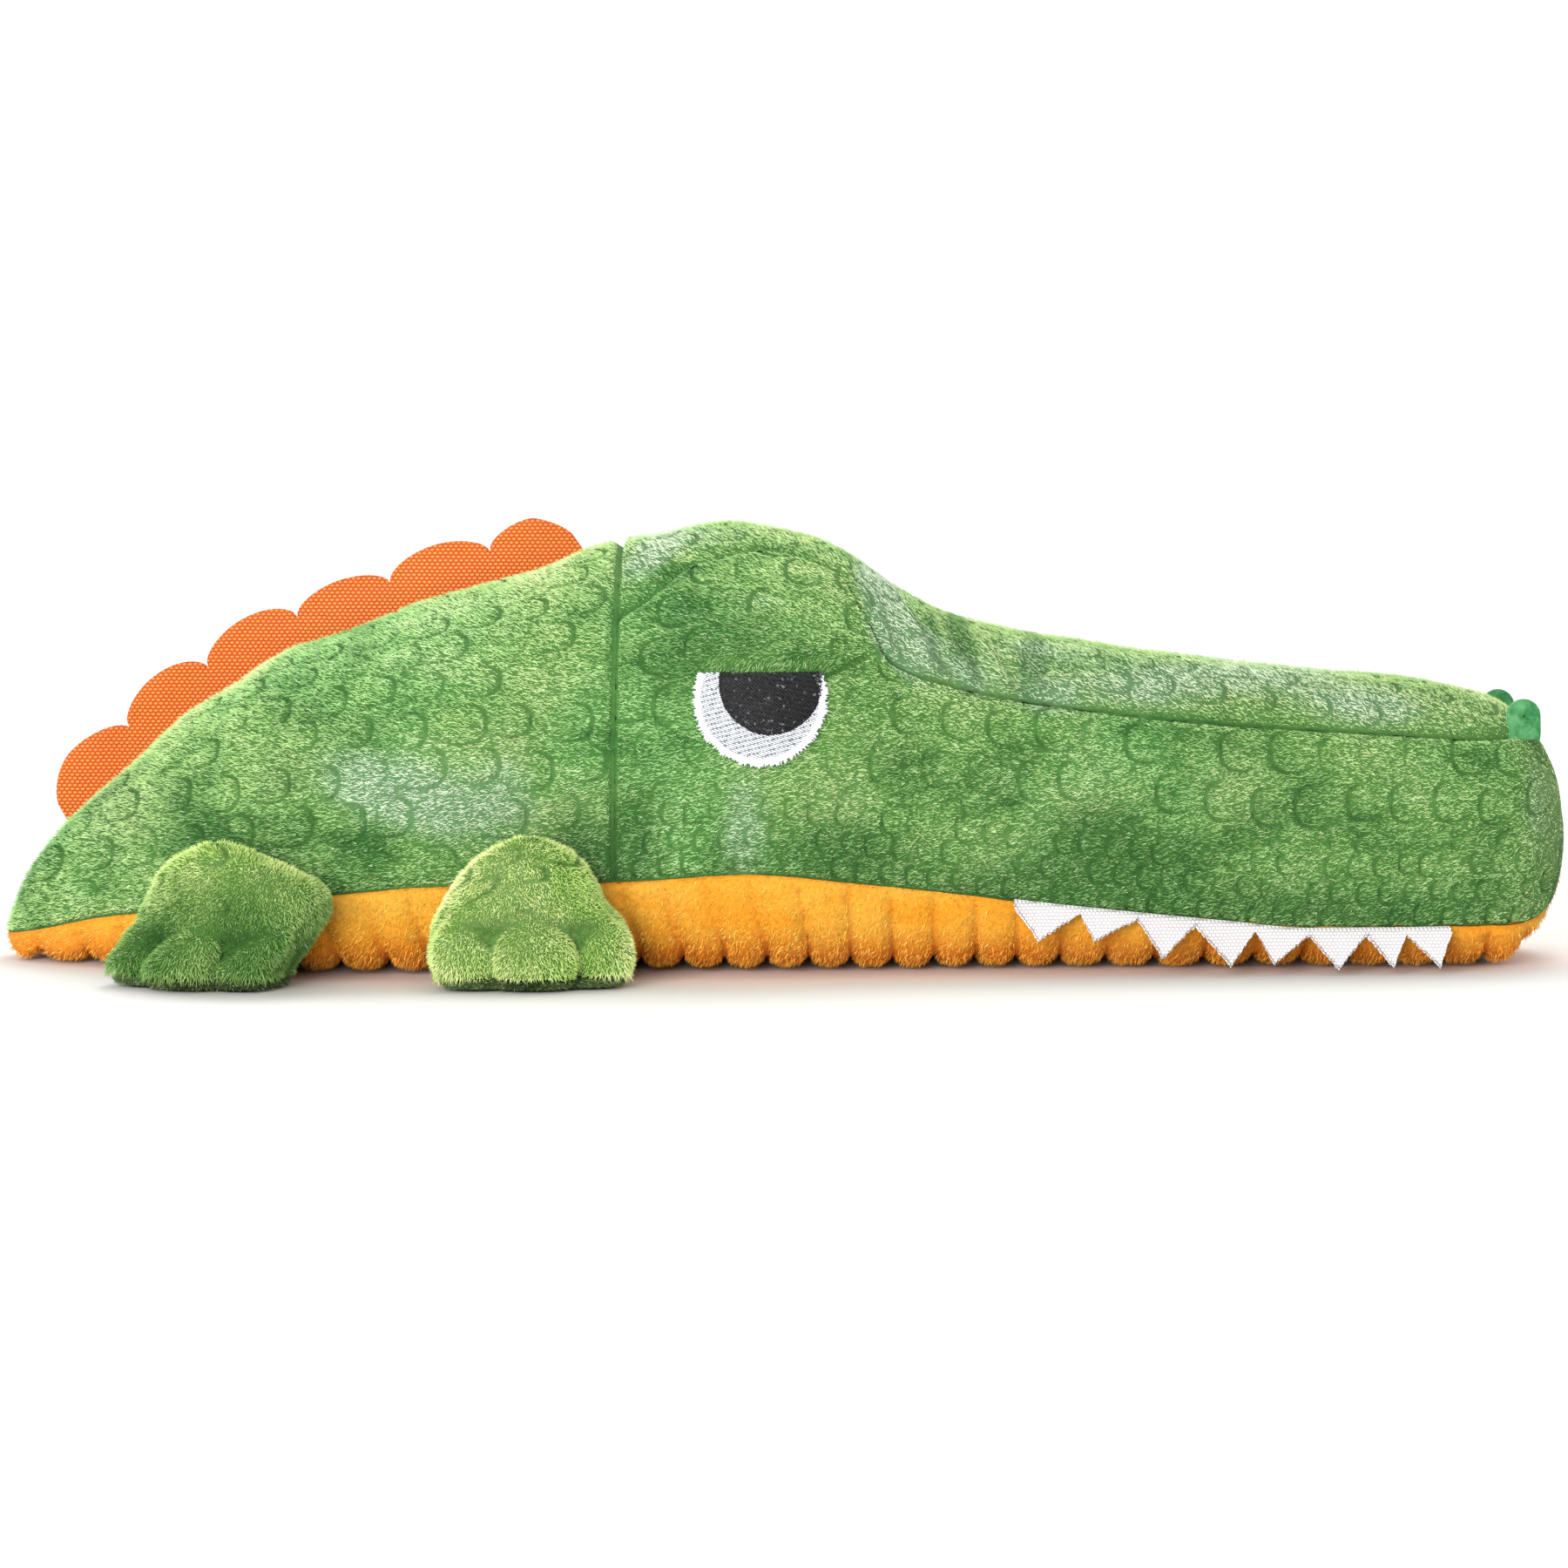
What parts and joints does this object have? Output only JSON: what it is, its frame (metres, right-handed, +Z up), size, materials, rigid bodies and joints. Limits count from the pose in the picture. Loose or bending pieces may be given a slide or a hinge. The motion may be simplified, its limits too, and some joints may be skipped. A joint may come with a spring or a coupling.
{
  "type": "stuffed crocodile dog toy",
  "caption": "Plush crocodile dog toy with a stuffed body and head, ribbed belly, scalloped back fin, cloth teeth, swinging legs and a hidden squeaker.",
  "frame": {"origin": "on the floor under the middle of the toy's length and width", "axes": "+X towards the snout, +Y to the toy's left, +Z up"},
  "size_m": [0.394, 0.1648, 0.1113],
  "materials": {
    "plush": "short-pile plush with pressed scales",
    "belly_plush": "ribbed short-pile plush",
    "leg_plush": "short-pile plush",
    "dark_plush": "short-pile plush",
    "nylon": "woven nylon",
    "teeth_cloth": "woven cloth, cut edges",
    "white_thread": "satin-stitched thread",
    "black_thread": "fill-stitched thread",
    "felt": "felt",
    "filling": "polyester wadding",
    "squeaker": "soft moulded plastic",
    "reed": "hard moulded plastic"
  },
  "bodies": {
    "body": {"back_panel_right": "plush", "back_panel_left": "plush", "head_side_right": "plush", "head_side_left": "plush", "head_top_panel": "plush", "belly_panel": "belly_plush", "back_fin": "nylon", "teeth_right": "teeth_cloth", "teeth_left": "teeth_cloth", "eye_white_right": "white_thread", "eye_white_left": "white_thread", "eye_pupil_right": "black_thread", "eye_pupil_left": "black_thread", "nostril_right": "felt", "nostril_left": "felt", "stuffing_rear": "filling", "stuffing_front": "filling", "stuffing_head": "filling", "squeaker_bulb": "squeaker", "squeaker_reed": "reed"},
    "leg_front_right": {"leg_front_right_cover": "leg_plush", "leg_front_right_sole": "dark_plush", "leg_front_right_stuffing": "filling"},
    "leg_front_left": {"leg_front_left_cover": "leg_plush", "leg_front_left_sole": "dark_plush", "leg_front_left_stuffing": "filling"},
    "leg_rear_right": {"leg_rear_right_cover": "leg_plush", "leg_rear_right_sole": "dark_plush", "leg_rear_right_stuffing": "filling"},
    "leg_rear_left": {"leg_rear_left_cover": "leg_plush", "leg_rear_left_sole": "dark_plush", "leg_rear_left_stuffing": "filling"}
  },
  "joints": [
    {"name": "leg_front_right_swing", "type": "hinge", "parent": "body", "child": "leg_front_right", "pos_m": [-0.06142, -0.05615, 0.02349], "axis": [-0.9906, -0.1371, 0], "range_deg": [0, 30]},
    {"name": "leg_front_left_swing", "type": "hinge", "parent": "body", "child": "leg_front_left", "pos_m": [-0.06142, 0.05615, 0.02349], "axis": [0.9906, -0.1371, 0], "range_deg": [0, 30]},
    {"name": "leg_rear_right_swing", "type": "hinge", "parent": "body", "child": "leg_rear_right", "pos_m": [-0.12935, -0.05184, 0.0186], "axis": [-0.9197, 0.3927, 0], "range_deg": [0, 30]},
    {"name": "leg_rear_left_swing", "type": "hinge", "parent": "body", "child": "leg_rear_left", "pos_m": [-0.12935, 0.05184, 0.0186], "axis": [0.9197, 0.3927, 0], "range_deg": [0, 30]}
  ]
}
